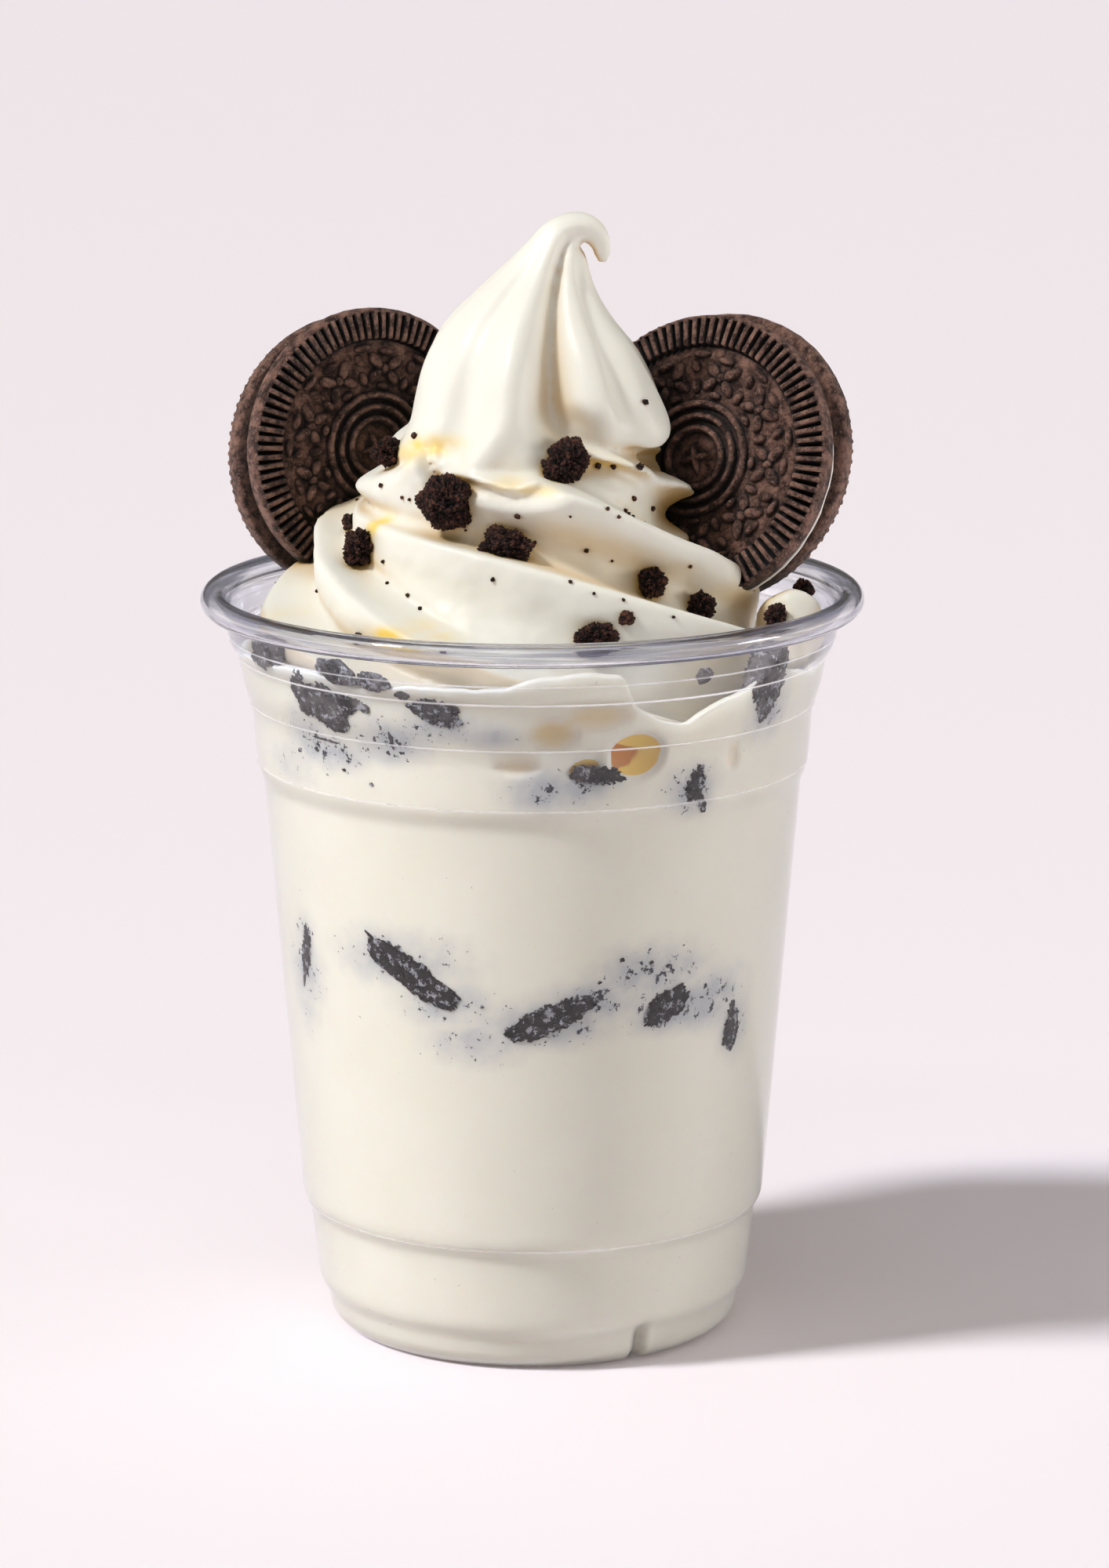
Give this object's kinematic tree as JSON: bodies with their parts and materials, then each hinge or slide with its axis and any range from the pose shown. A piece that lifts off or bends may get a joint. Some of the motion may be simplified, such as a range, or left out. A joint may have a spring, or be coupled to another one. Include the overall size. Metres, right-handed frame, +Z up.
{
  "type": "frozen yogurt cup",
  "caption": "Clear plastic cup of blended cookie yogurt with a piped swirl on top, chocolate sandwich cookies set in the swirl and crumbled cookie chunks.",
  "frame": {"origin": "centre of the ring the cup stands on, at the height of the table", "axes": "+Z up along the cup's axis, -Y towards the side that shows, +X to the right seen from that side"},
  "size_m": [0.098, 0.0978, 0.167],
  "materials": {
    "clear_plastic": "clear, thermoformed, glossy",
    "blended_yogurt": "thick ivory-white yogurt, smooth against the cup",
    "piped_yogurt": "soft-serve yogurt, satin",
    "cookie_wafer": "baked dark chocolate dough, embossed, dry",
    "cookie_cream": "white sugar cream, matt",
    "cookie_chunk": "broken dark cookie, rough"
  },
  "bodies": {
    "root": {"cup": "clear_plastic", "yogurt_blend": "blended_yogurt", "yogurt_swirl": "piped_yogurt", "cookie_right_front_wafer": "cookie_wafer", "cookie_right_cream": "cookie_cream", "cookie_right_back_wafer": "cookie_wafer", "cookie_left_front_wafer": "cookie_wafer", "cookie_left_cream": "cookie_cream", "cookie_left_back_wafer": "cookie_wafer", "top_chunk_1": "cookie_chunk", "top_chunk_2": "cookie_chunk", "top_chunk_3": "cookie_chunk", "top_chunk_4": "cookie_chunk", "top_chunk_5": "cookie_chunk", "top_chunk_6": "cookie_chunk", "top_chunk_7": "cookie_chunk", "top_chunk_8": "cookie_chunk", "wall_chunk_1": "cookie_chunk", "wall_chunk_2": "cookie_chunk", "wall_chunk_3": "cookie_chunk", "wall_chunk_4": "cookie_chunk", "wall_chunk_5": "cookie_chunk", "wall_chunk_6": "cookie_chunk", "wall_chunk_7": "cookie_chunk", "wall_chunk_8": "cookie_chunk", "wall_chunk_9": "cookie_chunk", "wall_chunk_10": "cookie_chunk", "wall_chunk_11": "cookie_chunk"}
  },
  "joints": []
}
